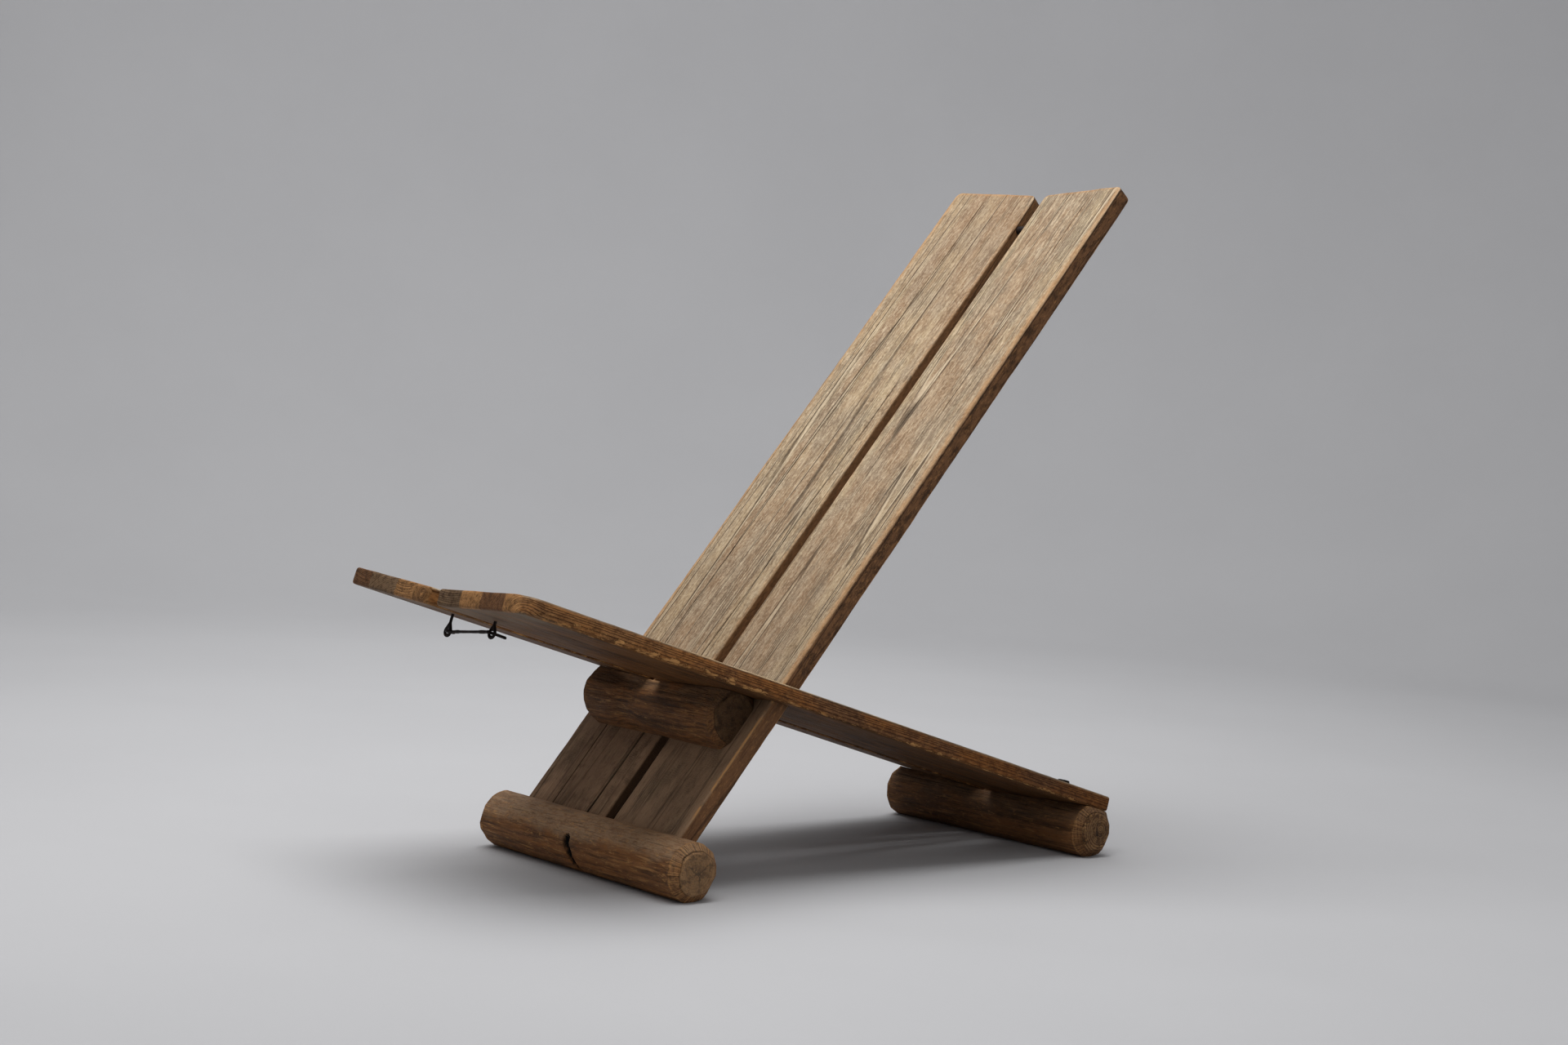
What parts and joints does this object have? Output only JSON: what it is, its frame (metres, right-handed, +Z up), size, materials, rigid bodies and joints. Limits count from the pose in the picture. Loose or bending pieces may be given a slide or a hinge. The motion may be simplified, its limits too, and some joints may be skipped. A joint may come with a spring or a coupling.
{
  "type": "easy chair",
  "caption": "Low rustic plank easy chair: a slotted plank seat slides down over a reclined plank back, both standing on round logs, with a hook and eyes under the seat.",
  "frame": {"origin": "on the floor, at the middle of the chair's footprint in plan", "axes": "+Z up; the sitter faces -Y; +X is at the sitter's left hand"},
  "size_m": [0.455, 1.0844, 0.9947],
  "materials": {
    "back_plank_wood": "dry weathered softwood, grey-tan, with a fine long grain",
    "seat_plank_wood": "aged orange-brown softwood with worn pale arrises",
    "log_wood": "dark brown peeled log, dry and slightly scuffed",
    "peg_wood": "plain hardwood end grain",
    "black_iron": "black oxidised iron, satin, with a little rust"
  },
  "bodies": {
    "back": {"front_log": "log_wood", "bearer_log": "log_wood", "back_plank_left": "back_plank_wood", "back_plank_right": "back_plank_wood", "tie_pin": "black_iron", "log_pegs": "peg_wood", "bearer_screws": "black_iron", "bearer_washers": "black_iron"},
    "seat": {"rear_log": "log_wood", "seat_plank_left": "seat_plank_wood", "seat_plank_right": "seat_plank_wood", "seat_screws": "black_iron", "seat_washers": "black_iron", "screw_eye_left": "black_iron", "screw_eye_right": "black_iron"},
    "hook": {"hook": "black_iron"}
  },
  "joints": [
    {"name": "seat_lift", "type": "slide", "parent": "back", "child": "seat", "axis": [0, 0.6388, 0.7694], "range_m": [0, 1]},
    {"name": "hook_swing", "type": "hinge", "parent": "seat", "child": "hook", "pos_m": [-0.043, -0.48146, 0.32379], "axis": [0.0866, -0.2746, -0.9576], "range_deg": [0, 150]}
  ]
}
